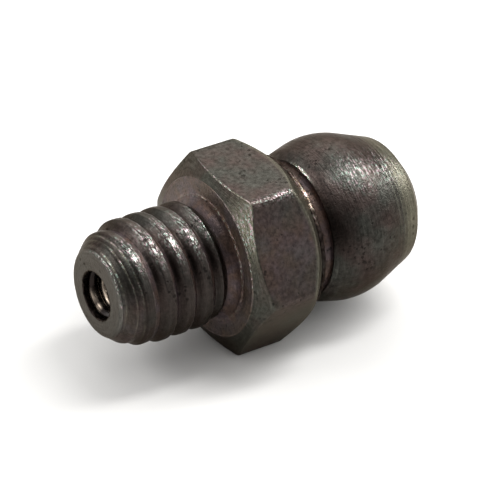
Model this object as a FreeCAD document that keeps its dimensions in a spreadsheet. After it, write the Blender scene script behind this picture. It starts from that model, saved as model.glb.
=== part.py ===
import FreeCAD, Part
import math
import os

import Sketcher

# Grease nipple lying on one flat of its hexagon, millimetres, +Z up.
# Each piece is drawn on its own X axis with zero at the threaded end face, and its
# Placement carries it to the shared frame: +X from the thread to the head.

# Driving sizes: alias, value, what it measures
sizes = [
    ("thread_diameter", 4.9, "over the crests of the M5 x 0.8 thread"),
    ("thread_pitch", 0.8, "crest to crest"),
    ("thread_depth", 0.42, "crest to root"),
    ("crest_flat", 0.12, "top of the thread, along the axis"),
    ("root_flat", 0.14, "bottom of the thread's groove, along the axis"),
    ("thread_run_in", 0.431, "middle of the groove's start to the threaded end face"),
    ("shank_length", 4.8, "threaded end face to the seat under the hexagon"),
    ("end_face_diameter", 3.2, "flat ring at the threaded end"),
    ("lead_length", 1.25, "lead-in cone at the threaded end"),
    ("relief_undercut", 0.03, "thread's root down to the relief under the hexagon"),
    ("relief_flank", 0.3, "slope from the thread into the relief, along the axis"),
    ("relief_floor", 0.1, "straight floor of the relief, along the axis"),
    ("relief_fillet", 0.45, "radius between the relief and the seat"),
    ("end_edge_fillet", 0.25, "rounded edge of the threaded end face"),
    ("mouth_fillet", 0.08, "rounded edge of the rolled-in mouth"),
    ("across_flats", 7.0, "hexagon"),
    ("hex_width", 3.1, "hexagon, along the axis"),
    ("hex_corner_radius", 0.35, "rounded corners of the drawn hexagon bar"),
    ("seat_diameter", 6.2, "flat seat that meets the machine"),
    ("seat_chamfer_angle", 25.0, "chamfer on the seat side, from the seat plane"),
    ("back_diameter", 6.3, "small end of the chamfer on the head side"),
    ("back_chamfer_angle", 43.0, "chamfer on the head side, from the seat plane"),
    ("neck_slope", 0.52, "cone from the hexagon down to the neck, along the axis"),
    ("neck_diameter", 5.0, "neck behind the head"),
    ("neck_length", 0.88, "hexagon to the head, along the axis"),
    ("neck_fillet", 0.22, "radius at the foot of the neck's cone"),
    ("head_diameter", 6.5, "largest diameter of the head"),
    ("back_cone_angle", 14.6, "cone between the bevel and the crown, from the axis"),
    ("front_cone_angle", 20.25, "cone between the crown and the nose, from the axis"),
    ("bevel_length", 0.27, "head's bevel, along the axis"),
    ("collar_step", 0.22, "step from the neck up to the bevel"),
    ("shoulder_fillet", 0.5, "radius between the bevel and the head's back cone"),
    ("head_length", 4.7, "step to the tip"),
    ("crown_radius", 2.9, "radius of the head's crown, in section"),
    ("crown_station", 1.64, "step to the head's largest diameter"),
    ("nose_rise", 0.825, "nose cone, across"),
    ("nose_length", 0.63, "nose cone, along the axis"),
    ("nose_fillet", 0.3, "rounded edges of the nose"),
    ("bore_diameter", 2.5, "grease bore"),
    ("lip_overhang", 0.25, "rolled-in lip, from the bore in to the mouth"),
    ("lip_thickness", 0.2, "rolled-in lip, along the axis"),
    ("lip_corner", 0.15, "slope in the corner behind the lip"),
    ("orifice_diameter", 1.4, "opening at the tip"),
    ("orifice_land", 0.25, "straight part of the opening at the tip"),
    ("valve_seat_angle", 45.0, "half angle of the ball's conical seat"),
    ("ball_clearance", 0.15, "between the check ball and the bore"),
    ("ball_gap", 0.02, "running gap between the ball and its seat, along the axis"),
    ("wire_diameter", 0.42, "spring wire"),
    ("coil_clearance", 0.09, "between the spring's coils and the bore"),
    ("closed_gap", 0.08, "between the closed end turns"),
    ("closed_turns", 2, "closed turns at each end"),
    ("active_turns", 10, "open turns"),
    ("spring_gap", 0.03, "gap between the spring and what it bears on"),
    ("spring_turn", 222.0, "start of the wire, in degrees about the axis from the top"),
]

# Radii of the thread's root and of the relief behind it
root_radius = "Sizes.thread_diameter / 2 - Sizes.thread_depth"
relief_radius = root_radius + " - Sizes.relief_undercut"

# Radii of the mouth and of the pieces in the bore
mouth_radius = "Sizes.bore_diameter / 2 - Sizes.lip_overhang"
ball_radius = "Sizes.bore_diameter / 2 - Sizes.ball_clearance"
coil_radius = "Sizes.bore_diameter / 2 - Sizes.coil_clearance - Sizes.wire_diameter / 2"
closed_pitch = "(Sizes.wire_diameter + Sizes.closed_gap)"

# Stations along the axis, from the threaded end face
seat_station = "Sizes.shank_length"
back_station = seat_station + " + Sizes.hex_width"
collar_station = back_station + " + Sizes.neck_length"
tip_station = collar_station + " + Sizes.head_length"
crown_station = collar_station + " + Sizes.crown_station"
shoulder_station = collar_station + " + Sizes.bevel_length"
nose_station = tip_station + " - Sizes.nose_length"
thread_end = seat_station + " - Sizes.relief_fillet - Sizes.relief_floor - Sizes.relief_flank"
valve_seat_end = tip_station + " - Sizes.orifice_land"
valve_seat_start = (valve_seat_end + " - (Sizes.bore_diameter - Sizes.orifice_diameter) / 2"
                    " / tan(Sizes.valve_seat_angle * 1 deg)")
ball_station = (valve_seat_end + " + Sizes.orifice_diameter / 2 / tan(Sizes.valve_seat_angle * 1 deg)"
                f" - ({ball_radius}) / sin(Sizes.valve_seat_angle * 1 deg) - Sizes.ball_gap")
spring_start = "Sizes.lip_thickness + Sizes.wire_diameter / 2 + Sizes.spring_gap"
spring_end = (f"({ball_station}) - sqrt(({ball_radius} + Sizes.wire_diameter / 2 + Sizes.spring_gap) ^ 2"
              f" - ({coil_radius}) ^ 2)")

# Radii of the neck and the head; the shoulder and the nose lie on cones that touch the crown
neck_radius = "Sizes.neck_diameter / 2"
collar_radius = neck_radius + " + Sizes.collar_step"
crown_centre_radius = "Sizes.head_diameter / 2 - Sizes.crown_radius"
shoulder_radius = (crown_centre_radius + " + (Sizes.crown_radius"
                   " - (Sizes.crown_station - Sizes.bevel_length) * sin(Sizes.back_cone_angle * 1 deg))"
                   " / cos(Sizes.back_cone_angle * 1 deg)")
nose_radius = (crown_centre_radius + " + (Sizes.crown_radius - (Sizes.head_length - Sizes.nose_length"
               " - Sizes.crown_station) * sin(Sizes.front_cone_angle * 1 deg))"
               " / cos(Sizes.front_cone_angle * 1 deg)")
tip_radius = nose_radius + " - Sizes.nose_rise"

# Radius that clears the hexagon's corners, for the chamfer cuts
clear_radius = "Sizes.across_flats * 0.65"


def make_sheet(doc):
    """spreadsheet that holds the driving sizes"""
    sheet = doc.addObject("Spreadsheet::Sheet", "Sizes")
    for row, (alias, value, words) in enumerate(sizes, start=1):
        sheet.set(f"A{row}", words)
        sheet.set(f"B{row}", str(value))
        sheet.setAlias(f"B{row}", alias)
    doc.recompute()
    return sheet


def value(owner, expression):
    """number that an expression of sheet sizes gives"""
    return float(owner.evalExpression(expression))


def new_sketch(body, name, role):
    """empty sketch on one of the body's own origin planes"""
    plane = next(item for item in body.Origin.OriginFeatures if item.Role == role)
    sketch = body.newObject("Sketcher::SketchObject", name)
    sketch.AttachmentSupport = (plane, [""])
    sketch.MapMode = "FlatFace"
    return sketch


def bind(sketch, constraint, name, expression):
    """dimension with a name, tied to the sheet"""
    index = sketch.addConstraint(constraint)
    sketch.renameConstraint(index, name)
    sketch.setExpression("Constraints." + name, expression)


def pin(sketch, corner, name, across, up):
    """corner held by its distances from the sketch's axes"""
    for kind, label, expression, axis in (("DistanceX", "_x", across, -2), ("DistanceY", "_y", up, -1)):
        if expression == "0":
            sketch.addConstraint(Sketcher.Constraint("PointOnObject", corner[0], corner[1], axis))
        elif expression.startswith("-"):
            size = expression[1:]
            rule = Sketcher.Constraint(kind, corner[0], corner[1], -1, 1, value(sketch, size))
            bind(sketch, rule, name + label, size)
        else:
            rule = Sketcher.Constraint(kind, -1, 1, corner[0], corner[1], value(sketch, expression))
            bind(sketch, rule, name + label, expression)


def draw_lines(sketch, corners, closed=True):
    """lines through corners given as name, distance across and distance up"""
    spots = [FreeCAD.Vector(value(sketch, across), value(sketch, up), 0) for name, across, up in corners]
    ends = spots[1:] + spots[:1] if closed else spots[1:]
    lines = [sketch.addGeometry(Part.LineSegment(a, b), False) for a, b in zip(spots, ends)]
    for before, after in zip(lines, lines[1:]):
        sketch.addConstraint(Sketcher.Constraint("Coincident", before, 2, after, 1))
    if closed:
        sketch.addConstraint(Sketcher.Constraint("Coincident", lines[-1], 2, lines[0], 1))
    for line, (name, across, up) in zip(lines, corners):
        pin(sketch, (line, 1), name, across, up)
    if not closed:
        name, across, up = corners[-1]
        pin(sketch, (lines[-1], 2), name, across, up)
    return lines


def draw_crown(sketch, back_line, nose_line):
    """crown arc of the head, with a tangent cone on each side of it"""
    radius = value(sketch, "Sizes.crown_radius")
    centre = FreeCAD.Vector(value(sketch, crown_station), value(sketch, crown_centre_radius), 0)
    back_angle = math.radians(90 + value(sketch, "Sizes.back_cone_angle"))
    front_angle = math.radians(90 - value(sketch, "Sizes.front_cone_angle"))
    back_touch, front_touch = (centre + FreeCAD.Vector(math.cos(angle), math.sin(angle), 0) * radius
                               for angle in (back_angle, front_angle))
    circle = Part.Circle(centre, FreeCAD.Vector(0, 0, 1), radius)
    back_cone = sketch.addGeometry(Part.LineSegment(sketch.getPoint(back_line, 2), back_touch), False)
    arc = sketch.addGeometry(Part.ArcOfCircle(circle, front_angle, back_angle), False)
    front_cone = sketch.addGeometry(Part.LineSegment(front_touch, sketch.getPoint(nose_line, 1)), False)
    sketch.addConstraint(Sketcher.Constraint("Coincident", back_line, 2, back_cone, 1))
    sketch.addConstraint(Sketcher.Constraint("Tangent", back_cone, 2, arc, 2))
    sketch.addConstraint(Sketcher.Constraint("Tangent", arc, 1, front_cone, 1))
    sketch.addConstraint(Sketcher.Constraint("Coincident", front_cone, 2, nose_line, 1))
    bind(sketch, Sketcher.Constraint("Radius", arc, radius), "crown_radius", "Sizes.crown_radius")
    pin(sketch, (arc, 3), "crown_centre", crown_station, crown_centre_radius)


def ring_edges(feature, station, radius):
    """names of the round edges that lie on one circle about the axis"""
    names = []
    for number, edge in enumerate(feature.Shape.Edges, start=1):
        if not isinstance(edge.Curve, Part.Circle):
            continue
        middle = edge.Curve.Center
        off_axis = math.hypot(middle.y, middle.z)
        if abs(middle.x - station) + abs(edge.Curve.Radius - radius) + off_axis < 1e-4:
            names.append(f"Edge{number}")
    return names


def round_edges(body, name, edges, radius):
    """fillet on the body's last feature"""
    base = body.Tip
    if not edges:
        raise RuntimeError(name + " finds no edge")
    fillet = body.newObject("PartDesign::Fillet", name)
    fillet.Base = (base, edges)
    fillet.setExpression("Radius", radius)
    body.Document.recompute()


def revolve(body, kind, name, sketch):
    """full turn of a sketch about the body's X axis, added or cut"""
    before = 0.0 if body.Tip is None else body.Shape.Volume
    feature = body.newObject("PartDesign::" + kind, name)
    feature.Profile = sketch
    feature.ReferenceAxis = (sketch, ["H_Axis"])
    feature.Angle = 360
    body.Document.recompute()
    if abs(body.Shape.Volume - before) < 1e-6:
        raise RuntimeError(name + " changes nothing")
    return feature


def turn_outside(body):
    """shank, seat, neck and head as turned from the bar"""
    sketch = new_sketch(body, "TurnedOutline", "XZ_Plane")
    thread_side = draw_lines(sketch, [
        ("axis_start", "0", "0"),
        ("end_face", "0", "Sizes.end_face_diameter / 2"),
        ("lead_in", "Sizes.lead_length", "Sizes.thread_diameter / 2"),
        ("thread_end", thread_end, "Sizes.thread_diameter / 2"),
        ("relief_start", thread_end + " + Sizes.relief_flank", relief_radius),
        ("relief_end", seat_station, relief_radius),
        ("seat_edge", seat_station, "Sizes.seat_diameter / 2"),
        ("hex_back", back_station, "Sizes.back_diameter / 2"),
        ("neck_foot", back_station + " + Sizes.neck_slope", neck_radius),
        ("neck_end", collar_station, neck_radius),
        ("collar", collar_station, collar_radius),
        ("shoulder", shoulder_station, shoulder_radius),
    ], closed=False)
    nose_side = draw_lines(sketch, [
        ("nose", nose_station, nose_radius),
        ("tip_edge", tip_station, tip_radius),
        ("axis_end", tip_station, "0"),
    ], closed=False)
    draw_crown(sketch, thread_side[-1], nose_side[0])
    close = sketch.addGeometry(Part.LineSegment(sketch.getPoint(nose_side[-1], 2), FreeCAD.Vector()), False)
    sketch.addConstraint(Sketcher.Constraint("Coincident", nose_side[-1], 2, close, 1))
    sketch.addConstraint(Sketcher.Constraint("Coincident", close, 2, thread_side[0], 1))
    revolve(body, "Revolution", "TurnedBar", sketch)


def soften_outside(body):
    """fillets of the turned outline"""
    rounds = [
        ("EndEdge", "0", "Sizes.end_face_diameter / 2", "Sizes.end_edge_fillet"),
        ("ReliefRoot", seat_station, relief_radius, "Sizes.relief_fillet"),
        ("NeckFoot", back_station + " + Sizes.neck_slope", neck_radius, "Sizes.neck_fillet"),
        ("HeadShoulder", shoulder_station, shoulder_radius, "Sizes.shoulder_fillet"),
        ("NoseEdge", nose_station, nose_radius, "Sizes.nose_fillet"),
        ("TipEdge", tip_station, tip_radius, "Sizes.nose_fillet"),
    ]
    for name, station, edge_radius, fillet_radius in rounds:
        edges = ring_edges(body.Tip, value(body, station), value(body, edge_radius))
        round_edges(body, name, edges, fillet_radius)


def add_hexagon(body):
    """spanner hexagon with rounded corners, one flat down"""
    sketch = new_sketch(body, "Hexagon", "YZ_Plane")
    sketch.setExpression("AttachmentOffset.Base.z", seat_station)
    corner = "Sizes.across_flats / sqrt(3)"
    half_side = "Sizes.across_flats / sqrt(12)"
    flat = "Sizes.across_flats / 2"
    draw_lines(sketch, [
        ("right", corner, "0"),
        ("top_right", half_side, flat),
        ("top_left", "-" + half_side, flat),
        ("left", "-" + corner, "0"),
        ("bottom_left", "-" + half_side, "-" + flat),
        ("bottom_right", half_side, "-" + flat),
    ])
    pad = body.newObject("PartDesign::Pad", "SpannerHexagon")
    pad.Profile = sketch
    pad.setExpression("Length", "Sizes.hex_width")
    body.Document.recompute()
    reach = value(body, corner)
    edges = []
    for number, edge in enumerate(pad.Shape.Edges, start=1):
        middle = edge.valueAt((edge.FirstParameter + edge.LastParameter) / 2)
        if isinstance(edge.Curve, Part.Line) and abs(math.hypot(middle.y, middle.z) - reach) < 1e-4:
            edges.append(f"Edge{number}")
    round_edges(body, "HexagonCorners", edges, "Sizes.hex_corner_radius")


def chamfer_hexagon(body):
    """cone cuts at both ends of the hexagon"""
    ends = [
        ("SeatChamfer", seat_station, "Sizes.seat_diameter / 2", " + ", "Sizes.seat_chamfer_angle"),
        ("BackChamfer", back_station, "Sizes.back_diameter / 2", " - ", "Sizes.back_chamfer_angle"),
    ]
    for name, station, radius, sign, angle in ends:
        sketch = new_sketch(body, name + "Outline", "XZ_Plane")
        reach = station + sign + f"({clear_radius} - {radius}) * tan({angle} * 1 deg)"
        draw_lines(sketch, [
            ("small_end", station, radius),
            ("plane_end", station, clear_radius),
            ("large_end", reach, clear_radius),
        ])
        revolve(body, "Groove", name, sketch)


def bore_inside(body):
    """grease bore, from the rolled-in lip to the ball's conical seat and the orifice"""
    sketch = new_sketch(body, "BoreOutline", "XZ_Plane")
    draw_lines(sketch, [
        ("mouth_axis", "0", "0"),
        ("mouth", "0", mouth_radius),
        ("lip", "Sizes.lip_thickness", mouth_radius),
        ("lip_corner", "Sizes.lip_thickness", "Sizes.bore_diameter / 2 - Sizes.lip_corner"),
        ("bore_start", "Sizes.lip_thickness + Sizes.lip_corner", "Sizes.bore_diameter / 2"),
        ("seat_start", valve_seat_start, "Sizes.bore_diameter / 2"),
        ("seat_end", valve_seat_end, "Sizes.orifice_diameter / 2"),
        ("orifice", tip_station, "Sizes.orifice_diameter / 2"),
        ("orifice_axis", tip_station, "0"),
    ])
    revolve(body, "Groove", "GreaseBore", sketch)
    edges = ring_edges(body.Tip, 0, value(body, mouth_radius))
    round_edges(body, "MouthEdge", edges, "Sizes.mouth_fillet")


def cut_thread(body):
    """right-handed groove that runs in through the lead cone and out into the relief"""
    sketch = new_sketch(body, "ThreadGroove", "XZ_Plane")
    sketch.setExpression("AttachmentOffset.Base.x", "-Sizes.thread_run_in")
    past_crest = "1.1"
    half_root = "Sizes.root_flat / 2"
    flank = "(Sizes.thread_pitch - Sizes.crest_flat - Sizes.root_flat) / 2"
    half_top = f"({half_root} + {past_crest} * {flank})"
    top_radius = f"{root_radius} + {past_crest} * Sizes.thread_depth"
    draw_lines(sketch, [
        ("root_behind", "-" + half_root, root_radius),
        ("top_behind", "-" + half_top, top_radius),
        ("top_ahead", half_top, top_radius),
        ("root_ahead", half_root, root_radius),
    ])
    groove = body.newObject("PartDesign::SubtractiveHelix", "Thread")
    groove.Profile = sketch
    groove.ReferenceAxis = (sketch, ["H_Axis"])
    groove.Mode = "pitch-height-angle"
    groove.setExpression("Pitch", "Sizes.thread_pitch")
    groove.setExpression("Height", f"Sizes.thread_run_in + {seat_station} - Sizes.relief_fillet")
    body.Document.recompute()


def place(piece, along):
    """piece carried from its own axis to the shared frame"""
    piece.setExpression("Placement.Base.x", f"{along} - ({tip_station}) / 2")
    piece.setExpression("Placement.Base.z", "Sizes.across_flats / 2")


def make_body(doc):
    """steel body, turned from hexagon bar in one piece"""
    body = doc.addObject("PartDesign::Body", "Nipple")
    body.Label = "body"
    turn_outside(body)
    soften_outside(body)
    add_hexagon(body)
    chamfer_hexagon(body)
    bore_inside(body)
    cut_thread(body)
    place(body, "0")
    return body


def make_ball(doc):
    """check ball behind the orifice"""
    ball = doc.addObject("Part::Sphere", "CheckBall")
    ball.Label = "ball"
    ball.setExpression("Radius", ball_radius)
    place(ball, ball_station)
    return ball


def make_spring(doc):
    """compression spring with closed ends, wound from three helices that meet end to end"""
    spring = doc.addObject("PartDesign::Body", "ValveSpring")
    spring.Label = "spring"
    closed_length = f"Sizes.closed_turns * {closed_pitch}"
    open_length = f"({spring_end}) - ({spring_start}) - 2 * {closed_length}"
    coils = [
        ("MouthTurns", spring_start, closed_pitch, "Sizes.closed_turns"),
        ("OpenTurns", f"{spring_start} + {closed_length}", f"({open_length}) / Sizes.active_turns",
         "Sizes.active_turns"),
        ("BallTurns", f"({spring_end}) - {closed_length}", closed_pitch, "Sizes.closed_turns"),
    ]
    for name, station, pitch, turns in coils:
        sketch = new_sketch(spring, name + "Wire", "XZ_Plane")
        centre = FreeCAD.Vector(value(sketch, station), value(sketch, coil_radius), 0)
        radius = value(sketch, "Sizes.wire_diameter / 2")
        wire = sketch.addGeometry(Part.Circle(centre, FreeCAD.Vector(0, 0, 1), radius), False)
        bind(sketch, Sketcher.Constraint("Radius", wire, radius), "wire_radius", "Sizes.wire_diameter / 2")
        pin(sketch, (wire, 3), "wire_centre", station, coil_radius)
        helix = spring.newObject("PartDesign::AdditiveHelix", name)
        helix.Profile = sketch
        helix.ReferenceAxis = (sketch, ["H_Axis"])
        helix.Mode = "pitch-turns-angle"
        helix.setExpression("Pitch", pitch)
        helix.setExpression("Turns", turns)
        doc.recompute()
    spring.Placement.Rotation = FreeCAD.Rotation(FreeCAD.Vector(1, 0, 0), value(spring, "Sizes.spring_turn"))
    spring.setExpression("Placement.Rotation.Angle", "Sizes.spring_turn * 1 deg")
    place(spring, "0")
    return spring


def check(doc, pieces):
    """stop if anything in the document failed"""
    for item in doc.Objects:
        if "Invalid" in item.State or "Error" in item.State:
            raise RuntimeError(f"{item.Name} failed: {item.State}")
    for piece in pieces:
        if piece.Shape.isNull() or not piece.Shape.isValid() or len(piece.Shape.Solids) != 1:
            raise RuntimeError(piece.Label + " isn't one valid solid")


def main():
    os.makedirs("parts", exist_ok=True)
    doc = FreeCAD.newDocument("GreaseNipple")
    make_sheet(doc)
    pieces = [make_body(doc), make_ball(doc), make_spring(doc)]
    doc.recompute()
    check(doc, pieces)
    for piece in pieces:
        piece.Shape.exportStep(f"parts/{piece.Label}.step")
        box = piece.Shape.optimalBoundingBox(False)
        print(f"{piece.Label}: {piece.Shape.Volume:.3f} mm3, x {box.XMin:.3f} to {box.XMax:.3f}, "
              f"z {box.ZMin:.3f} to {box.ZMax:.3f}")


main()
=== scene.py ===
import math

import bmesh
import bpy
import numpy as np
from mathutils import Matrix, Vector, noise


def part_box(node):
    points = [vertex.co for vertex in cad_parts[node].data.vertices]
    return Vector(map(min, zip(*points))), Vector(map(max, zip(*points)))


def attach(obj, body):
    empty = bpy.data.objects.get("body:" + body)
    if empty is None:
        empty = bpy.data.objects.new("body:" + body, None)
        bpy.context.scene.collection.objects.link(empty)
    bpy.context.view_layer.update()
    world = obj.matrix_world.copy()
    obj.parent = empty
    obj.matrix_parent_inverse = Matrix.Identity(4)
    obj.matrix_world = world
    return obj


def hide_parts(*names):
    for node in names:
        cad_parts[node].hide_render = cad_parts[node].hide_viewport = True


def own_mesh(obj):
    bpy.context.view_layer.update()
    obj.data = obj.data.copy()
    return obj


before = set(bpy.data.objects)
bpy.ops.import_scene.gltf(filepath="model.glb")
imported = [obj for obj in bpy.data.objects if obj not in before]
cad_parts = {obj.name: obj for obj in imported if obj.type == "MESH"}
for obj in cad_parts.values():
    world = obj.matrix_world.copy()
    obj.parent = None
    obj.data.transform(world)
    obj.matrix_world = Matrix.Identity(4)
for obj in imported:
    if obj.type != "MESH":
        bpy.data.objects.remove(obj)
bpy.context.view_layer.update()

# Everything below is worked out in millimetres from the threaded end face, along the nipple's axis.
# The turn about that axis is in degrees: 0 is up, 90 is the side of -Y.
placeValues = {
    "endFace": -6.74,  # threaded end face in the shared frame, mm
    "axisHeight": 3.5,  # axis above the surface that the nipple lies on, mm
}


def toFrame(along, radius, turn):  # millimetres and degrees to metres in the shared frame
    angle = np.radians(turn)
    return np.stack([
        (placeValues["endFace"] + along) / 1000,
        -radius * np.sin(angle) / 1000,
        (placeValues["axisHeight"] + radius * np.cos(angle)) / 1000,
    ], axis=-1)


def toLinear(hexColour):  # sRGB hex to the linear values that shaders take
    channels = [int(hexColour[i:i + 2], 16) / 255 for i in (1, 3, 5)]
    return [c / 12.92 if c <= 0.04045 else ((c + 0.055) / 1.055) ** 2.4 for c in channels] + [1.0]


def smoothStep(start, end, value):  # 0 up to the start, 1 from the end on
    part = np.clip((value - start) / (end - start), 0, 1)
    return part * part * (3 - 2 * part)


def bell(value, middle, spread):  # 1 at one value, fading on both sides
    return np.exp(-((value - middle) / spread) ** 2)


def wrinkle(points, size, seed=0.0):  # smooth noise from -1 to 1 at each point, size in mm
    shift = Vector((seed, seed * 1.7, -seed * 2.3))
    heights = [noise.noise(Vector(p) * (1000 / size) + shift) for p in points.reshape(-1, 3)]
    return np.array(heights).reshape(points.shape[:-1])


def addObject(name, data):  # puts a mesh, lamp or camera into the scene
    thing = bpy.data.objects.new(name, data)
    bpy.context.collection.objects.link(thing)
    return thing


def addNode(tree, kind, settings=None, inputs=None):  # one node with its settings and its values or links
    node = tree.nodes.new(kind)
    for name, setting in (settings or {}).items():
        setattr(node, name, setting)
    for socket, source in (inputs or {}).items():
        if isinstance(source, bpy.types.NodeSocket):
            tree.links.new(source, node.inputs[socket])
        else:
            node.inputs[socket].default_value = source
    return node


def newMaterial(name):  # empty material with its output node
    material = bpy.data.materials.new(name)
    material.use_nodes = True
    tree = material.node_tree
    tree.nodes.clear()
    return material, tree, addNode(tree, "ShaderNodeOutputMaterial")


# Body
maskNames = ("crest", "pale", "purple", "gold", "dirt", "spark", "turned")
bodyValues = {  # lengths in mm, points as distance along and radius
    "mouth": 0.94, "bore": 1.25, "lip": 0.2, "endRadius": 1.63, "endFillet": 0.25,
    "leadStart": (0.5, 2.09), "threadEnd": (4.35, 2.0), "fadeStart": 3.95,
    "leadIn": ((0.1, 1.72), (0.5, 2.09), (0.6, 2.15), (0.9, 2.26), (1.3, 2.43)),
    "crestRadius": 2.43, "rootRadius": 2.15, "pitch": 0.8, "firstCrest": 0.83,
    "crestHalf": 0.16, "crestDome": 0.11, "burrHeight": 0.014, "burrWidth": 0.022,
    "threadRows": 136, "threadRoughness": 0.03,
    "leadLines": ((0.17, 0.7, 0.0), (0.4, 1.1, 0.4), (0.58, 1.0, 0.8)),  # along, strength, lead in one turn
    "seatAt": 4.8, "footRadius": 2.45, "reliefRadius": 0.45, "ringHeight": 0.035,
    "acrossFlats": 7.0, "cornerRadius": 0.35, "edgeRounding": 0.045, "flatColumns": 34, "cornerColumns": 8,
    "frontRadius": 3.1, "frontSlope": 25.0, "hexBack": (7.9, 3.15), "backSlope": 43.0,
    "bead": (8.01, 3.02), "beadRadius": 0.13, "neckStart": (8.42, 2.5), "neckFillet": 0.22,
    "collar": (8.78, 2.72), "bevelEnd": (9.05, 2.99), "coneEnd": (9.69, 3.157), "shoulderFillet": 0.5,
    "crownCentre": (10.42, 0.35), "crownRadius": 2.9, "crownArc": (14.6, -20.25),
    "nose": (12.85, 2.545), "tip": (13.48, 1.72), "noseFillet": 0.3, "opening": 0.7,
    "toolMarks": (11.72, 11.95, 12.15, 12.4), "toolMarkDepth": 0.012,
    "cornerGlintSpread": 2.0,  # degrees of turn
    "tornBead": 0.05, "raggedLip": 0.055, "dents": 0.006, "specks": 0.004,  # height of their bumps
    "mouthDrop": 0.12, "endDrop": 0.05,  # the rolled lip and the end face aren't quite true to the axis
    # Entries that peak near one turn mostly paint light: painted shade in the dirt mask, painted highlights
    # in the pale, gold and spark masks.
    "wear": (  # mask, where, strength all round, and extra strength near one turn with its spread in degrees
        ("crest", "crests", 0.5), ("crest", "endFace", 1.6),
        # Dirt in the thread's grooves with painted shade: grooves darkest near turn 46, and the thread darker
        # away from its lit top near turn 15.
        ("dirt", "grooves", 0.2, 0.75, 46, 18), ("dirt", "fullThread", 0.65, -0.65, 15, 48),
        # Painted shade on the lead cone: a dark band near turn 45 and its underside near turn 105.
        ("dirt", "leadBand", 0, 0.5, 45, 45), ("dirt", "leadCone", 0, 0.3, 105, 40),
        # Painted shade beside the lead's lines near turn 45, and dirt with painted shade in the relief behind
        # the last crest.
        ("dirt", "besideLines", 0, 0.6, 45, 55), ("dirt", "reliefFloor", 0.15, 0.5, 35, 30),
        # Dirt and painted shade in the bore, at the mouth and in the neck's groove.
        ("dirt", "bore", 0.4), ("dirt", "mouth", 0.8), ("dirt", "neck", 0.35),
        # Painted shade on the neck's cone away from its lit part near turn 27; the neck spots are dirt.
        ("dirt", "neckCone", 0.8, -0.8, 27, 24), ("dirt", "neckSpots", 0.6),
        # Painted shade on the head: a dark reflection behind the collar near turn 62, and its underside near
        # turn 108.
        ("dirt", "headDarkReflection", 0, 0.95, 62, 21), ("dirt", "head", 0, 0.4, 108, 30),
        # Painted shade on the hexagon near turn 80 and on the front chamfer near turn 8.
        ("dirt", "hex", 0, 0.18, 80, 16), ("dirt", "front", 0, 0.18, 8, 18),
        ("purple", "tarnishedThread", 1), ("purple", "leadCone", 0, 0.35, 105, 40), ("purple", "neck", 0.9),
        ("purple", "hex", 0, 0.4, 62, 26), ("purple", "tarnishedSeat", 1),
        # Pale burrs and turned front chamfer, with painted highlights on their lit side near turns 30 and 43.
        ("pale", "burrs", 0.35, 0.4, 30, 40), ("pale", "front", 0.08, 1.2, 43, 16),
        # Painted highlight along the front edge near turn 15, and a painted reflection lightening the bottom
        # flat near turn 120; the back chamfer is pale all round.
        ("pale", "edge", 0.1, 0.55, 15, 30), ("pale", "hex", 0, 0.2, 120, 25), ("pale", "back", 0.35),
        # Painted highlights on the end face's rim near turn 32 and as a streak on the collar near turn 3; the
        # seat's middle is pale.
        ("pale", "rim", 0.2, 0.8, 32, 42), ("pale", "collarHighlight", 0, 2, 3, 9), ("pale", "seatMiddle", 0.3),
        # The head's front is pale; a painted highlight line runs along the seat's outer edge near turn 50.
        ("pale", "headFront", 0.5), ("pale", "seatEdge", 0, 1.6, 50, 24),
        # The worn ring at the shank's foot is pale, brighter near turn 35 as a painted highlight.
        ("pale", "ring", 0.42, 0.98, 35, 45), ("pale", "besideMarks", 0.2),
        # Gold tint of the worn ring and the neck's torn bead, with a painted highlight on their lit side.
        ("gold", "ring", 0.18, 0.42, 35, 35), ("gold", "neckCone", 0, 0.45, 30, 18),
        # Spark paints glints and highlights: coloured specks on the lit side of the ring, bead, collar, rim,
        # seat edge, crests, burrs, chamfer, head, edge and corners.
        ("spark", "ring", 0.18, 0.42, 35, 35), ("spark", "ring", 0, 3, 35, 40),
        ("spark", "neckCone", 0, 0.95, 30, 18), ("spark", "collarHighlight", 0, 3, 3, 9),
        ("spark", "rim", 0, 1.2, 32, 42), ("spark", "seatEdge", 0, 3, 50, 24),
        ("spark", "crestGlints", 0, 1.1, 21, 21), ("spark", "burrs", 0, 1, 25, 35),
        ("spark", "front", 0, 1.3, 42, 11), ("spark", "headGlint", 0, 0.55, 25, 13),
        ("spark", "edge", 0, 1.1, 10, 24), ("spark", "corners", 0, 1, 30, 20),
    ),
}


def hexagonColumns(values):  # turn of each column, the hexagon's radius there, degrees from a flat's middle
    half = values["acrossFlats"] / 2
    rho = values["cornerRadius"]
    centre = (half - rho) / math.cos(math.radians(30))
    reach = math.degrees(math.atan(math.tan(math.radians(30)) * (half - rho) / half))
    turns = []
    for sector in range(6):
        middle = sector * 60 - 180
        turns += list(np.linspace(middle - reach, middle + reach, values["flatColumns"] + 1))
        turns += list(np.linspace(middle + reach, middle + 60 - reach, values["cornerColumns"] + 1))[1:-1]
    turns = np.array(turns)
    offset = np.abs((turns + 30) % 60 - 30)
    delta = np.radians(30 - offset)
    rounded = centre * np.cos(delta) + np.sqrt(np.maximum(rho ** 2 - (centre * np.sin(delta)) ** 2, 0))
    radius = np.where(offset <= reach + 1e-6, half / np.cos(np.radians(offset)), rounded)
    return turns, radius, offset


turns, hexRadius, fromFlat = hexagonColumns(bodyValues)
columns = len(turns)


def between(start, end, steps):  # points of a straight run, without its start
    return [(start[0] + (end[0] - start[0]) * i / steps, start[1] + (end[1] - start[1]) * i / steps)
            for i in range(1, steps + 1)]


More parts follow.
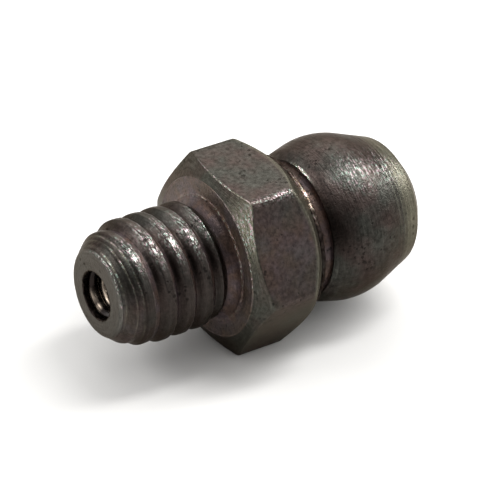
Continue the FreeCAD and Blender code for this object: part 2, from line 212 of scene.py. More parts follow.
def rounding(before, corner, after, radius, steps):  # points of a fillet between two straight runs
    a = (Vector(before) - Vector(corner)).normalized()
    b = (Vector(after) - Vector(corner)).normalized()
    half = a.angle(b) / 2
    reach = radius / math.tan(half)
    middle = Vector(corner) + (a + b).normalized() * (radius / math.sin(half))
    first = Vector(corner) + a * reach - middle
    last = Vector(corner) + b * reach - middle
    sweep = math.atan2(first.x * last.y - first.y * last.x, first.dot(last))
    points = []
    for i in range(steps + 1):
        angle = sweep * i / steps
        points.append((middle.x + first.x * math.cos(angle) - first.y * math.sin(angle),
                       middle.y + first.x * math.sin(angle) + first.y * math.cos(angle)))
    return points


def near(turn, middle, spread):  # 1 at one turn about the axis, fading on both sides
    return bell((turn - middle + 180) % 360 - 180, 0, spread)


def bodyRows(values):  # rows of the body's skin: distance along and radius, one number per column
    rows = []

    def add(points, part):
        for along, radius in points:
            rows.append((np.zeros(columns) + along, np.zeros(columns) + radius, part))

    mouth, bore, lip = values["mouth"], values["bore"], values["lip"]
    add([(along, bore) for along in (12.43, 10.0, 7.0, 4.0, 2.0, 1.0, 0.35)], "bore")
    add([(lip, 1.1), (lip, 1.0)], "bore")
    add(rounding((lip, 1.0), (lip, mouth), (0.1, mouth), 0.02, 2), "mouth")
    add(rounding((lip, mouth), (0, mouth), (0, 1.5), 0.04, 5), "mouth")
    leadStart, threadEnd = values["leadStart"], values["threadEnd"]
    endEdge = rounding((0, 1.2), (0, values["endRadius"]), leadStart, values["endFillet"], 7)
    add([(0, 1.0), (0, 1.03)] + between((0, 1.05), endEdge[0], 6)[:-1] + endEdge, "endFace")
    add(between(endEdge[-1], leadStart, 24), "lead")
    add(between(leadStart, threadEnd, values["threadRows"]), "thread")
    seat, foot, relief = values["seatAt"], values["footRadius"], values["reliefRadius"]
    add([(threadEnd[0] + relief * math.sin(a), foot - relief * math.cos(a))
         for a in np.linspace(0.12, math.pi / 2, 14)], "relief")
    front = values["frontRadius"]
    add(between((seat, foot), (seat, 2.6), 5) + between((seat, 2.6), (seat, 3.05), 5), "seat")
    add([(seat, front - 0.03), (seat - 0.013, front - 0.013), (seat, front + 0.005),
         (seat + 0.012, front + 0.018)], "seat")  # small fold at the turned face's edge

    slope, rounded = math.tan(math.radians(values["frontSlope"])), values["edgeRounding"]
    frontEdge = seat + (hexRadius - front) * slope
    for part in (0.08, 0.2, 0.35, 0.5, 0.65, 0.8, 0.92, 1.0):
        radius = front + (hexRadius - rounded * 0.9 - front) * part
        rows.append((seat + (radius - front) * slope, radius, "front"))
    rows.append((frontEdge + 0.006, hexRadius - 0.013, "edge"))
    hexBack, backSlope = values["hexBack"], math.tan(math.radians(values["backSlope"]))
    backEdge = hexBack[0] - (hexRadius - hexBack[1]) * backSlope
    for part in [0.0] + list(np.linspace(0.06, 0.94, 16)):
        rows.append((frontEdge + rounded + (backEdge - frontEdge - 2 * rounded) * part, hexRadius, "hex"))
    rows.append((backEdge - rounded, hexRadius, "back"))
    rows.append((backEdge + 0.002, hexRadius - 0.012, "back"))
    for part in (0.86, 0.6, 0.3, 0.08):
        radius = hexBack[1] + (hexRadius - hexBack[1]) * part
        rows.append((hexBack[0] - (radius - hexBack[1]) * backSlope, radius, "backChamfer"))

    neckStart, collar = values["neckStart"], values["collar"]
    neckEnd = (collar[0], neckStart[1])
    add(rounding((hexBack[0] - 0.1, hexBack[1] + 0.1), hexBack, neckStart, 0.05, 2), "backChamfer")
    neckFoot = rounding(hexBack, neckStart, neckEnd, values["neckFillet"], 5)
    middle, size = values["bead"], values["beadRadius"]
    bead = [(middle[0] - size * math.cos(a), middle[1] + size * math.sin(a))
            for a in np.radians(np.linspace(36, 160, 12))]
    add(bead + between(bead[-1], neckFoot[0], 10)[:-1], "neckCone")
    add(neckFoot + rounding(neckStart, neckEnd, collar, 0.14, 3), "neck")
    shoulder = rounding(collar, values["bevelEnd"], values["coneEnd"], values["shoulderFillet"], 5)
    bevelStart = (collar[0] + 0.04, collar[1] + 0.04)
    add(rounding(neckEnd, collar, values["bevelEnd"], 0.04, 3), "collar")
    add(between(bevelStart, shoulder[0], 3)[:-1], "collar")

    middle, size = values["crownCentre"], values["crownRadius"]
    crown = [(middle[0] - size * math.sin(a), middle[1] + size * math.cos(a))
             for a in np.radians(np.linspace(*values["crownArc"], 26))]
    end, opening = values["tip"][0], values["opening"]
    nose = rounding(crown[-1], values["nose"], values["tip"], values["noseFillet"], 5)
    tip = rounding(values["nose"], values["tip"], (end, 0.9), values["noseFillet"], 5)
    add(shoulder + between(shoulder[-1], crown[0], 5)[:-1] + crown, "head")
    add(between(crown[-1], nose[0], 34)[:-1] + nose + between(nose[-1], tip[0], 6)[:-1], "head")
    add(tip + between(tip[-1], (end, opening + 0.06), 8), "tip")
    add(rounding((end, 0.9), (end, opening), (end - 0.18, opening), 0.05, 3), "tip")
    add([(end - 0.25, opening), (end - 0.28, opening + 0.03)], "bore")
    return rows


def threadHeight(along, turn, values):  # height from 0 to 1, fold, shoulder and mm off the crest's middle
    place = (along - values["firstCrest"]) / values["pitch"] - turn / 360
    offset = (place - np.round(place)) * values["pitch"]
    away = np.abs(offset)
    half = values["crestHalf"]
    rise = np.clip((values["pitch"] / 2 - away) / (values["pitch"] / 2 - half), 0, 1)
    height = (1 - values["crestDome"] * (np.minimum(away, half) / half) ** 2) * rise * (0.6 + 0.4 * rise)
    fold = bell(offset, half, values["burrWidth"])  # thread rolling leaves it beside the crest
    shoulder = bell(offset, -0.06, 0.11)  # the side of the crest that gets the painted glint
    return height, fold, shoulder, offset


def threadSkin(values, x, turn, points):  # radius of the thread and its lead-in, where they are worn and dirty, and where shade and glints are painted on them
    axisAt = placeValues["axisHeight"] / 1000
    lengthways = np.stack([(x - values["pitch"] * turn / 360) / 1000, points[..., 1] / 4,
                           (points[..., 2] - axisAt) / 4], -1)
    bend = wrinkle(points, 1.1, 3.0)  # slow unevenness of the rolled thread
    fine = wrinkle(lengthways, 0.075, 9.0)  # drawn-out lumps along the thread
    height, fold, shoulder, offset = threadHeight(x + 0.02 * bend, turn, values)
    terrace = np.maximum(offset + 0.1, 0) * smoothStep(0.42, 0.6, x - offset)
    envelope = np.interp(x - terrace, *zip(*values["leadIn"]))  # the first crest is a terrace on the cone
    envelope -= 0.09 * (1 - height) * smoothStep(0.25, 0.5, x)
    end = 1 - smoothStep(values["fadeStart"], values["threadEnd"][0], x)  # the last crest fades out
    root = values["rootRadius"]
    cut = root + (values["crestRadius"] - root) * end * height
    cut += values["threadRoughness"] * end * height * (0.3 * bend - 0.35 + 0.22 * fine)
    depth = envelope - cut

    lines = np.zeros_like(x)  # thin lines of metal that the die left along the lead cone
    besideLines = np.zeros_like(x)
    for place, size, lead in values["leadLines"]:
        middle = place + lead * turn / 360 + 0.045 * wrinkle(lengthways, 0.45, place * 40)
        lines = np.maximum(lines, size * bell(x, middle, values["burrWidth"]))
        besideLines = np.maximum(besideLines, size * bell(x, middle + 0.06, 0.04))
    broken = smoothStep(-0.25, 0.25, wrinkle(lengthways, 0.12, 17.0))
    burr = np.maximum(lines, fold * end * smoothStep(0.7, 0.9, x)) * (0.25 + 0.75 * broken)
    radius = np.minimum(envelope - 0.02 - 0.006 * np.abs(fine), cut) + values["burrHeight"] * burr

    backFlank = smoothStep(0.1, 0.18, offset) * (1 - smoothStep(0.34, 0.4, offset))  # faces the hexagon
    crests = height * end * smoothStep(0.55, 0.75, x)
    return radius, {
        "crests": crests,
        "crestGlints": crests * (0.3 + 0.7 * shoulder),
        "grooves": smoothStep(0.03, 0.17, depth) * (1 - 0.7 * backFlank),
        "tarnishedThread": np.maximum(0.5 * smoothStep(0.1, 0.3, depth),
                                      end * smoothStep(0.8, 1.1, x) * backFlank),
        "leadBand": smoothStep(0.22, 0.3, x) * (1 - smoothStep(0.42, 0.55, x)),
        "leadCone": 1 - smoothStep(0.6, 0.9, x),
        "fullThread": smoothStep(0.5, 0.9, x),
        "besideLines": besideLines,
        "burrs": burr,
    }


def wearShapes(values, parts, along, radius, points):  # where the rest of the body is worn, stained or dirty, and where shade, highlights and glints are painted on it

    def on(*names):
        return np.isin(parts, names)[:, None] * 1.0

    seat, foot = values["seatAt"], values["footRadius"]
    ring = np.exp(-((along - seat + 0.01) ** 2 + (radius - foot) ** 2) / 0.055 ** 2)  # worn foot of the shank
    ragged = 0.3 + 0.7 * smoothStep(-0.4, 0.3, wrinkle(points, 0.13, 11.0))
    shapes = {name: on(name) for name in ("endFace", "bore", "mouth", "neck", "neckCone", "hex", "front",
                                          "edge", "head")}
    shapes["back"] = on("back", "backChamfer")
    shapes["ring"] = on("seat", "relief") * ring * ragged
    shapes["reliefFloor"] = on("relief") * (1 - ring)
    shapes["tarnishedSeat"] = on("seat", "relief") * (1 - 0.3 * smoothStep(foot, foot + 0.25, radius))
    shapes["seatMiddle"] = on("seat") * smoothStep(foot, foot + 0.15, radius)
    shapes["seatEdge"] = bell(radius, values["frontRadius"] - 0.01, 0.025) * (np.abs(along - seat) < 0.03)
    shapes["rim"] = on("endFace") * bell(radius, values["endRadius"] + 0.03, 0.04)
    shapes["neckSpots"] = on("neckCone") * smoothStep(-0.1, 0.3, wrinkle(points, 0.16, 21.0))
    # painted highlight streak along the collar's edge
    shapes["collarHighlight"] = on("collar", "head") * bell(along, values["collar"][0] + 0.02, 0.024)
    # painted dark reflection on the head behind the collar
    shapes["headDarkReflection"] = on("collar", "head") * bell(along, 9.05, 0.6)
    shapes["headFront"] = on("head") * smoothStep(11.9, 12.4, along)
    shapes["headGlint"] = on("head") * (0.8 * bell(along, 10.4, 0.7) + bell(along, 11.9, 0.6))
    shapes["toolMarks"] = on("head") * sum(bell(along, place, 0.035) for place in values["toolMarks"])
    shapes["besideMarks"] = on("head") * sum(bell(along, place + 0.08, 0.03) for place in values["toolMarks"])
    alongCorner = 0.3 + 0.6 * smoothStep(5.4, 7.2, along)
    shapes["corners"] = on("hex") * bell(30 - fromFlat, 0, values["cornerGlintSpread"]) * alongCorner
    return shapes


def makeBody(values):
    rows = bodyRows(values)
    parts = np.array([row[2] for row in rows])
    along = np.array([row[0] for row in rows])
    radius = np.array([row[1] for row in rows])
    turn = np.zeros_like(along) + turns
    points = toFrame(along, radius, turn)
    isThread = np.isin(parts, ("lead", "thread"))
    radius[isThread], threadShapes = threadSkin(values, along[isThread], turn[isThread], points[isThread])
    shapes = wearShapes(values, parts, along, radius, points)
    for name, shape in threadShapes.items():
        shapes[name] = np.zeros_like(along)
        shapes[name][isThread] = shape
    masks = {name: np.zeros_like(along) for name in maskNames}
    masks["turned"][parts != "hex"] = 1
    for mask, shape, allRound, *atTurn in values["wear"]:
        extra = atTurn[0] * near(turn, *atTurn[1:]) if atTurn else 0
        masks[mask] += shapes[shape] * (allRound + extra)

    radius -= values["toolMarkDepth"] * shapes["toolMarks"]
    along -= values["ringHeight"] * shapes["ring"]  # the worn ring stands a little proud
    points = toFrame(along, radius, turn)
    lip = (along <= values["lip"] + 0.01) * (1 - smoothStep(1.1, 1.5, radius))
    points[..., 2] -= values["mouthDrop"] / 1000 * lip
    outer = smoothStep(1.0, 1.5, radius) * (1 - smoothStep(0, 0.5, along))
    points[..., 2] -= values["endDrop"] / 1000 * outer
    outward = toFrame(along, radius + 1, turn) - toFrame(along, radius, turn)  # one millimetre off the axis
    lift = -values["dents"] * np.abs(wrinkle(points, 0.9, 5.0))
    lift -= values["specks"] * np.maximum(wrinkle(points, 0.22, 6.0), 0)
    lift *= np.isin(parts, ("hex", "edge", "back", "front", "head", "tip", "endFace"))[:, None]
    lift += values["tornBead"] * shapes["neckCone"] * wrinkle(points, 0.12, 7.0)  # at the neck's foot
    lift += values["raggedLip"] * shapes["mouth"] * wrinkle(points, 0.13, 8.0)
    points += outward * lift[..., None]

    rowCount = len(rows)
    index = np.arange(rowCount * columns).reshape(rowCount, columns)
    nextRow = np.roll(index, -1, axis=0)
    faces = np.stack([index, np.roll(index, -1, axis=1), np.roll(nextRow, -1, axis=1), nextRow], -1)
    mesh = bpy.data.meshes.new("nippleBody")
    mesh.from_pydata(points.reshape(-1, 3).tolist(), [], faces.reshape(-1, 4).tolist())
    steps = np.hypot(np.diff(along.mean(1)), np.diff(radius.mean(1)))
    travel = np.concatenate([[0], np.cumsum(steps)])[:, None] + np.zeros(columns)
    across = np.where(isThread[:, None], along - values["pitch"] * turn / 360, travel)  # follows the thread
    streaks = np.stack([across, np.sin(np.radians(turn)), np.cos(np.radians(turn))], -1)
    layer = mesh.attributes.new("streak", "FLOAT_VECTOR", "POINT")
    layer.data.foreach_set("vector", streaks.reshape(-1).astype(np.float32))
    for name, mask in masks.items():
        layer = mesh.attributes.new(name, "FLOAT", "POINT")
        layer.data.foreach_set("value", mask.reshape(-1).astype(np.float32))
    work = bmesh.new()
    work.from_mesh(mesh)
    if work.calc_volume(signed=True) < 0:
        bmesh.ops.reverse_faces(work, faces=work.faces)
    for face in work.faces:
        face.smooth = True
    work.to_mesh(mesh)
    work.free()
    mesh.update()
    return addObject("nippleBody", mesh)


nippleBody = makeBody(bodyValues)
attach(nippleBody, "fitting")
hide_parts("body")
print("stage: body", len(nippleBody.data.vertices), "points", len(nippleBody.data.polygons), "quads")


# Spring
springValues = {
    "wire": 0.42, "startTurn": 132, "stepsPerTurn": 40, "sides": 14,
    "rise": ((0, 0.42), (0.3, 0.425), (1, 0.74), (2, 1.2), (12, 10.5), (14, 11.41)),  # turns, mm along
    "coilRadius": ((0, 0.96), (0.5, 0.96), (1, 0.92), (3, 0.95)),  # turns, mm: the coils aren't quite true
    "paintedGlint": ((224, 12, 0.4), (192, 7, 0.4), (585, 24, 1.2)),  # painted highlights on the coils: turn, spread in degrees, strength
}


def makeSpring(values):
    turnCount = values["rise"][-1][0]
    wound = np.linspace(0, turnCount, turnCount * values["stepsPerTurn"] + 1)
    path = zip(np.interp(wound, *zip(*values["rise"])), np.interp(wound, *zip(*values["coilRadius"])),
               wound * 360 + values["startTurn"])
    work = bmesh.new()
    bright = []
    rings = []
    for along, coilRadius, turn in path:
        ring = []
        for side in range(values["sides"]):
            angle = 2 * math.pi * side / values["sides"]
            spot = toFrame(along + values["wire"] / 2 * math.cos(angle),
                           coilRadius + values["wire"] / 2 * math.sin(angle), turn)
            ring.append(work.verts.new(spot))
            bright.append(sum(strength * bell(turn, middle, spread)
                              for middle, spread, strength in values["paintedGlint"]))
        rings.append(ring)
    for a, b in zip(rings, rings[1:]):
        for i in range(values["sides"]):
            j = (i + 1) % values["sides"]
            work.faces.new((a[i], a[j], b[j], b[i])).smooth = True
    work.faces.new(rings[0][::-1])
    work.faces.new(rings[-1])
    bmesh.ops.recalc_face_normals(work, faces=work.faces)
    mesh = bpy.data.meshes.new("valveSpring")
    work.to_mesh(mesh)
    work.free()
    mesh.attributes.new("paintedGlint", "FLOAT", "POINT").data.foreach_set("value", bright)
    return addObject("valveSpring", mesh)


valveSpring = makeSpring(springValues)
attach(valveSpring, "fitting")
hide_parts("spring")
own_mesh(valveSpring)
print("stage: spring")


# Ball
ballValues = {"radius": 1.1, "segments": 64, "rings": 32}


def makeBall(values):
    low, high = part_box("ball")
    work = bmesh.new()
    bmesh.ops.create_uvsphere(work, u_segments=values["segments"], v_segments=values["rings"],
                              radius=values["radius"] / 1000)
    bmesh.ops.rotate(work, verts=work.verts, cent=(0, 0, 0), matrix=Matrix.Rotation(math.pi / 2, 3, "Y"))
    bmesh.ops.translate(work, verts=work.verts, vec=(low + high) / 2)
    for face in work.faces:
        face.smooth = True
    mesh = bpy.data.meshes.new("checkBall")
    work.to_mesh(mesh)
    work.free()
    return addObject("checkBall", mesh)


checkBall = makeBall(ballValues)
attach(checkBall, "check_ball")
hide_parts("ball")
print("stage: ball")


# Finishes
bodyFinish = {  # sizes in mm
    # white, pink and green tint the painted glints; the dark dirt tone also lays painted shade.
    "brown": "#3f3734", "olive": "#3c3c38", "pale": "#848270", "purple": "#54464a", "rust": "#574239",
    "crest": "#514f4b", "gold": "#a98a70", "dirt": "#1c1614", "pit": "#0d0c0b", "white": "#dcd8d2",
    "pink": "#c79aaa", "green": "#93bba8",
    "edgeOn": (0.56, 0.52, 0.48, 1.0),  # linear tint of the metal seen at a shallow angle
    "patchSize": 1.5, "mottleSize": 0.17, "tarnishSize": 0.7, "grainSize": 0.07, "glintSize": 0.055,
    "mottle": (0.55, 1.45), "lineTone": (0.6, 1.4),  # darkest and lightest part, as a share of the colour
    "purpleCover": 0.85, "crestCover": 0.55, "dirtCover": 0.9, "pitCover": 0.6,  # how much each hides
    "lineSpacing": 0.06, "lineBreaks": 2.5, "glintBreaks": 13.0,  # breaks along a line, per radian of turn
    "pitSpacing": 0.24, "pitPatchSize": 0.9, "bendSize": 0.15, "bend": 0.12,
    "lineDepth": 0.012, "grainDepth": 0.016, "pitDepth": 0.01,
    "roughness": 0.36, "sparkRoughness": 0.22, "metallic": 0.95, "tarnishMetallic": 0.4,
}


def passivatedZincSteel(look):
    # Free-cutting steel, turned and thread-rolled, with a dull zinc plating and a dark passivation:
    # dark grey-brown metal with a soft gloss, turning lines, small pits and dirt, painted shade away from the
    # light, and painted highlights and coloured glints on the lit side.
    material, tree, output = newMaterial("passivatedZincSteel")
    spot = addNode(tree, "ShaderNodeTexCoord").outputs["Object"]
    streak = addNode(tree, "ShaderNodeAttribute", {"attribute_name": "streak"}).outputs["Vector"]
    masks = {name: addNode(tree, "ShaderNodeAttribute", {"attribute_name": name}).outputs["Fac"]
             for name in maskNames}
    paint = {name: toLinear(value) for name, value in look.items() if isinstance(value, str)}
    glintSize = look["glintSize"]
    clouds = {}  # noises by name: size of the lumps in mm, detail, roughness
    for name, size, detail, rough in (
            ("patch", look["patchSize"], 3.0, 0.5), ("mottle", look["mottleSize"], 3.0, 0.65),
            ("tarnish", look["tarnishSize"], 2.0, 0.5), ("grain", look["grainSize"], 2.0, 0.5),
            ("corner", 1.3 * glintSize, 2.0, 0.5), ("glintPatch", 3 * glintSize, 1.0, 0.5),
            ("hue", 2 * glintSize, 1.0, 0.5), ("pitPatch", look["pitPatchSize"], 2.0, 0.5)):
        clouds[name] = addNode(tree, "ShaderNodeTexNoise", None,
                               {"Vector": spot, "Scale": 1000 / size, "Detail": detail,
                                "Roughness": rough}).outputs["Fac"]
    flatLevel = (0.5, 0.5, 0.5, 1.0)  # without turning lines on the hexagon's flats
    drawn = {}  # noises drawn out along the turning lines
    for name, spacing, breaks, detail, rough, onFlats in (
            ("lines", look["lineSpacing"], look["lineBreaks"], 3.0, 0.7, flatLevel),
            ("paintedGlint", glintSize, look["glintBreaks"], 2.0, 0.6, clouds["corner"])):
        stretched = addNode(tree, "ShaderNodeVectorMath", {"operation": "MULTIPLY"},
                            {0: streak, 1: (1 / spacing, breaks, breaks)})
        noisy = addNode(tree, "ShaderNodeTexNoise", None,
                        {"Vector": stretched.outputs[0], "Scale": 1.0, "Detail": detail, "Roughness": rough})
        drawn[name] = addNode(tree, "ShaderNodeMix", {"data_type": "RGBA"},
                              {0: masks["turned"], 6: onFlats, 7: noisy.outputs["Fac"]}).outputs[2]
    waves = addNode(tree, "ShaderNodeTexNoise", None, {"Vector": spot, "Scale": 1000 / look["bendSize"]})
    bent = addNode(tree, "ShaderNodeVectorMath", {"operation": "MULTIPLY_ADD"},
                   {0: waves.outputs["Color"], 1: [look["bend"] / 1000] * 3, 2: spot}).outputs[0]
    pits = addNode(tree, "ShaderNodeTexVoronoi", None, {"Vector": bent, "Scale": 1000 / look["pitSpacing"]})

    # Each step is a ramp (value, its start and end, what they become) or a sum (operation, two values).
    steps = (
        ("patch", "cloud patch", 0.4, 0.6, 0.0, 1.0), ("mottle", "cloud mottle", 0.3, 0.7, *look["mottle"]),
        # The pale share: pale worn metal, and painted highlights where the pale mask peaks.
        ("worn", "cloud grain", 0.3, 0.65, 0.45, 1.0), ("worn", "MULTIPLY", "mask pale", "worn"),
        ("tarnish", "cloud tarnish", 0.4, 0.6, 0.0, 1.0), ("hue", "cloud hue", 0.42, 0.58, 0.0, 1.0),
        ("purple", "MULTIPLY", "mask purple", look["purpleCover"]),
        ("crest", "MULTIPLY", "mask crest", look["crestCover"]),
        # The dirt share carries dirt and painted shade: hollows and sides turned from the light are darkened.
        ("dirt", "MULTIPLY", "mask dirt", look["dirtCover"]), ("goldGlint", "MULTIPLY", "mask gold", 0.5),
        ("gold", "cloud grain", 0.35, 0.6, 0.3, 0.9), ("gold", "MULTIPLY", "mask gold", "gold"),
        ("lineTone", "drawn lines", 0.25, 0.75, *look["lineTone"]),
        # Glint specks: painted glints where the spark mask is.
        ("specks", "MULTIPLY", "cloud glintPatch", 0.3), ("specks", "ADD", "drawn paintedGlint", "specks"),
        ("specks", "specks", 0.64, 0.8, 0.0, 1.0), ("specks", "MULTIPLY", "mask spark", "specks"),
        ("pitMask", "cloud pitPatch", 0.46, 0.66, 0.0, 0.34), ("pitMask", "SUBTRACT", "pitMask", "distance"),
        ("pitMask", "pitMask", -0.02, 0.1, 0.0, 1.0), ("pits", "MULTIPLY", "pitMask", look["pitCover"]),
        ("sheen", "mask spark", 0.0, 1.0, look["roughness"], look["sparkRoughness"]),
        ("lineSheen", "drawn lines", 0.2, 0.8, -0.08, 0.08), ("sheen", "ADD", "sheen", "lineSheen"),
        ("bare", "mask purple", 0.0, 1.0, look["metallic"], look["tarnishMetallic"]),  # tarnish mirrors less
    )
    found = {"distance": pits.outputs["Distance"]}
    for prefix, values in (("mask ", masks), ("cloud ", clouds), ("drawn ", drawn)):
        found.update({prefix + name: value for name, value in values.items()})
    for name, *step in steps:
        step = [found.get(value, value) for value in step]
        if len(step) == 3:
            made = addNode(tree, "ShaderNodeMath", {"operation": step[0]}, {0: step[1], 1: step[2]})
        else:
            sockets = ("Value", "From Min", "From Max", "To Min", "To Max")
            made = addNode(tree, "ShaderNodeMapRange", None, dict(zip(sockets, step)))
        found[name] = made.outputs[0]

    # Colours laid over each other: the result's name, how much, what lies below, what comes over it.
    for name, share, below, over, *blend in (
            ("colour", "patch", "brown", "olive"), ("colour", 1.0, "colour", "mottle", "MULTIPLY"),
            ("colour", "worn", "colour", "pale"), ("stain", "tarnish", "purpleTone", "rust"),
            ("stain", 1.0, "stain", "mottle", "MULTIPLY"), ("colour", "purple", "colour", "stain"),
            ("colour", "crest", "colour", "crestTone"), ("colour", 1.0, "colour", "lineTone", "MULTIPLY"),
            # Painted glints: white, pink, green and gold specks laid into the colour.
            ("glint", "hue", "pink", "green"), ("glint", 0.35, "glint", "white"),
            ("glint", "goldGlint", "glint", "goldTone"), ("colour", "specks", "colour", "glint"),
            # The dark dirt tone also lays the painted shade.
            ("colour", "gold", "colour", "goldTone"), ("colour", "dirt", "colour", "dirtTone"),
            ("colour", "pits", "colour", "pit")):
        tones = [found[tone] if tone in found else paint[tone.replace("Tone", "")] for tone in (below, over)]
        mixed = addNode(tree, "ShaderNodeMix", {"data_type": "RGBA", "blend_type": (blend + ["MIX"])[0]},
                        {0: found.get(share, share), 6: tones[0], 7: tones[1]})
        found[name] = mixed.outputs[2]

    relief = {}
    for height, depth, inward in (("drawn lines", "lineDepth", False), ("cloud grain", "grainDepth", False),
                                  ("pitMask", "pitDepth", True)):
        raised = addNode(tree, "ShaderNodeBump", {"invert": inward},
                         {"Strength": 1.0, "Distance": look[depth] / 1000, "Height": found[height], **relief})
        relief = {"Normal": raised.outputs["Normal"]}
    surface = addNode(tree, "ShaderNodeBsdfPrincipled", None,
                      {"Base Color": found["colour"], "Metallic": found["bare"], "Roughness": found["sheen"],
                       "Specular Tint": look["edgeOn"], **relief})
    tree.links.new(surface.outputs["BSDF"], output.inputs["Surface"])
    return material


# film is the wire's own greasy tone; bare is the tone of its painted highlights.
wireFinish = {
    "film": "#211b19", "bare": "#cdbca9", "toneSize": 0.3, "roughness": (0.2, 0.32), "metallic": 0.9,
}


def drawnSpringSteel(look):
    # Drawn wire under a film of old grease: dark brown with a soft gloss, with painted highlights in a bright
    # tone on a few places of the coils.
    material, tree, output = newMaterial("drawnSpringSteel")
    spot = addNode(tree, "ShaderNodeTexCoord").outputs["Object"]
    tone = addNode(tree, "ShaderNodeTexNoise", None,
                   {"Vector": spot, "Scale": 1000 / look["toneSize"], "Detail": 3.0})
    low, high = look["roughness"]
    shade = addNode(tree, "ShaderNodeMapRange", None,
                    {"Value": tone.outputs["Fac"], "From Min": 0.3, "From Max": 0.7,
                     "To Min": low, "To Max": high}).outputs["Result"]
    paintedGlint = addNode(tree, "ShaderNodeAttribute", {"attribute_name": "paintedGlint"})
    colour = addNode(tree, "ShaderNodeMix", {"data_type": "RGBA"},
                     {0: paintedGlint.outputs["Fac"], 6: toLinear(look["film"]), 7: toLinear(look["bare"])})
    surface = addNode(tree, "ShaderNodeBsdfPrincipled", None,
                      {"Base Color": colour.outputs[2], "Metallic": look["metallic"], "Roughness": shade})
    tree.links.new(surface.outputs["BSDF"], output.inputs["Surface"])
    return material


ballFinish = {"steel": "#b4b2ae", "markSize": 0.2, "roughness": (0.1, 0.2)}


def polishedBearingSteel(look):
    # Ground and polished ball: a clear mirror with the faintest marks.
    material, tree, output = newMaterial("polishedBearingSteel")
    spot = addNode(tree, "ShaderNodeTexCoord").outputs["Object"]
    marks = addNode(tree, "ShaderNodeTexNoise", None,
                    {"Vector": spot, "Scale": 1000 / look["markSize"], "Detail": 4.0})
    low, high = look["roughness"]
    shade = addNode(tree, "ShaderNodeMapRange", None,
                    {"Value": marks.outputs["Fac"], "From Min": 0.3, "From Max": 0.7,
                     "To Min": low, "To Max": high}).outputs["Result"]
    surface = addNode(tree, "ShaderNodeBsdfPrincipled", None,
                      {"Base Color": toLinear(look["steel"]), "Metallic": 1.0, "Roughness": shade})
    tree.links.new(surface.outputs["BSDF"], output.inputs["Surface"])
    return material


steel = passivatedZincSteel(bodyFinish)
wire = drawnSpringSteel(wireFinish)
polished = polishedBearingSteel(ballFinish)
for piece, material in ((nippleBody, steel), (valveSpring, wire), (checkBall, polished),
                        (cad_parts["body"], steel), (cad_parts["spring"], wire),
                        (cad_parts["ball"], polished)):
    piece.data.materials.clear()
    piece.data.materials.append(material)
print("stage: finishes")


# Floor, light and camera
studioValues = {
    "floorSize": 6.0, "floorTone": "#e4e3e1", "floorRoughness": 0.9, "floorGloss": 0.1,
    "worldLow": 0.2, "worldHigh": 0.95,  # the room's dark and pale parts
    "paleSide": (-0.8, 0.6, 0.0), "ceiling": 3.0, "paleFrom": 0.9,  # where it is pale, and how soon fully so
    "darkSide": (-0.55, -0.72, 0.42), "darkLevel": 0.12,  # unlit side of the room and what it still gives
    "darkEdge": (0.76, 0.93),  # cosine of the angle to its middle, at its outer and inner edge
    "lights": [  # name, direction from the object, distance m, width and height m, brightness
        ("overheadStrip", (0.66, -0.06, 0.75), 0.3, 0.055, 0.42, 14.0),
        ("backBox", (0.45, 0.68, 0.58), 0.3, 0.2, 0.2, 2.3),
        ("leftBox", (-0.70, 0.40, 0.58), 0.3, 0.14, 0.09, 7.0),
        ("frontSpot", (-0.47, -0.58, 0.67), 0.3, 0.02, 0.02, 9.0),
    ],
}
cameraValues = {  # angles in degrees, lens and sensor in mm, the rest in metres
    "azimuth": -37.3, "elevation": 35.014, "roll": 5.133, "distance": 0.10835,
    "target": (0.000155, 0.0, 0.0035), "lens": 204.9, "sensor": 36.0, "clipStart": 0.005,
    "across": 0.0000185, "down": 0.000383,
}


def makeFloor(values):
    work = bmesh.new()
    bmesh.ops.create_grid(work, x_segments=1, y_segments=1, size=values["floorSize"] / 2)
    mesh = bpy.data.meshes.new("floor")
    work.to_mesh(mesh)
    work.free()
    floor = addObject("floor", mesh)
    material, tree, output = newMaterial("mattWhiteCard")  # matt card: even, pale, with next to no gloss
    surface = addNode(tree, "ShaderNodeBsdfPrincipled", None,
                      {"Base Color": toLinear(values["floorTone"]), "Roughness": values["floorRoughness"],
                       "Specular IOR Level": values["floorGloss"]})
    tree.links.new(surface.outputs["BSDF"], output.inputs["Surface"])
    mesh.materials.append(material)


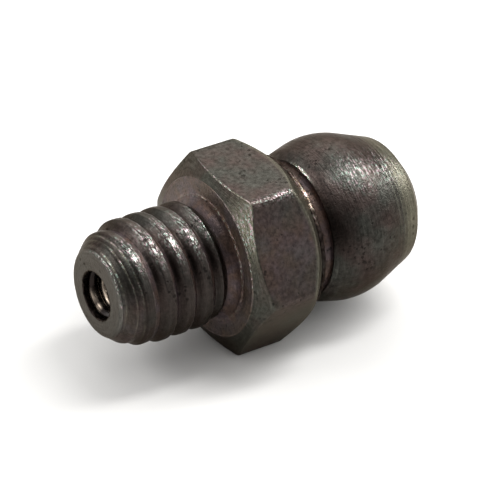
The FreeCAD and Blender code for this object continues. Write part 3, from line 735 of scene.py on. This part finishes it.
def makeLight(values):
    world = bpy.data.worlds.new("studio")
    bpy.context.scene.world = world
    world.use_nodes = True
    tree = world.node_tree
    tree.nodes.clear()
    heading = addNode(tree, "ShaderNodeTexCoord").outputs["Generated"]
    ways = (values["paleSide"], (0.0, 0.0, values["ceiling"]), values["darkSide"])
    side, rise, toViewer = [
        addNode(tree, "ShaderNodeVectorMath", {"operation": "DOT_PRODUCT"},
                {0: heading, 1: way}).outputs["Value"] for way in ways]
    openness = addNode(tree, "ShaderNodeMath", {"operation": "MAXIMUM"}, {0: side, 1: rise})
    glow = addNode(tree, "ShaderNodeMapRange", None,
                   {"Value": openness.outputs[0], "From Min": 0.0, "From Max": values["paleFrom"],
                    "To Min": values["worldLow"], "To Max": values["worldHigh"]})
    outerEdge, innerEdge = values["darkEdge"]
    shade = addNode(tree, "ShaderNodeMapRange", {"interpolation_type": "SMOOTHSTEP"},
                    {"Value": toViewer, "From Min": outerEdge, "From Max": innerEdge,
                     "To Min": 1.0, "To Max": values["darkLevel"]})
    strength = addNode(tree, "ShaderNodeMath", {"operation": "MULTIPLY"},
                       {0: glow.outputs["Result"], 1: shade.outputs["Result"]})
    background = addNode(tree, "ShaderNodeBackground", None,
                         {"Color": toLinear("#ffffff"), "Strength": strength.outputs[0]})
    output = addNode(tree, "ShaderNodeOutputWorld")
    tree.links.new(background.outputs["Background"], output.inputs["Surface"])
    for name, direction, distance, width, height, brightness in values["lights"]:
        lamp = bpy.data.lights.new(name, "AREA")
        lamp.shape = "RECTANGLE"
        lamp.size = width
        lamp.size_y = height
        lamp.energy = brightness * math.pi * width * height
        holder = addObject(name, lamp)
        spot = Vector(direction).normalized() * distance
        holder.location = spot + Vector((0, 0, placeValues["axisHeight"] / 1000))
        holder.rotation_euler = spot.to_track_quat("Z", "Y").to_euler()


def makeCamera(values):
    azimuth, elevation, roll = (math.radians(values[name]) for name in ("azimuth", "elevation", "roll"))
    back = Vector((math.sin(azimuth) * math.cos(elevation), -math.cos(azimuth) * math.cos(elevation),
                   math.sin(elevation)))
    right = Vector((math.cos(azimuth), math.sin(azimuth), 0))
    up = back.cross(right)
    right, up = (right * math.cos(roll) + up * math.sin(roll), up * math.cos(roll) - right * math.sin(roll))
    lens = bpy.data.cameras.new("camera")
    lens.lens = values["lens"]
    lens.sensor_width = values["sensor"]
    lens.clip_start = values["clipStart"]
    camera = addObject("camera", lens)
    spot = Vector(values["target"]) + back * values["distance"]
    spot += right * values["across"] - up * values["down"]
    camera.matrix_world = Matrix.Translation(spot) @ Matrix((right, up, back)).transposed().to_4x4()
    bpy.context.scene.camera = camera


makeFloor(studioValues)
makeLight(studioValues)
makeCamera(cameraValues)
bpy.context.scene.view_settings.view_transform = "Standard"  # keeps the tones that the colours name
print("stage: studio")
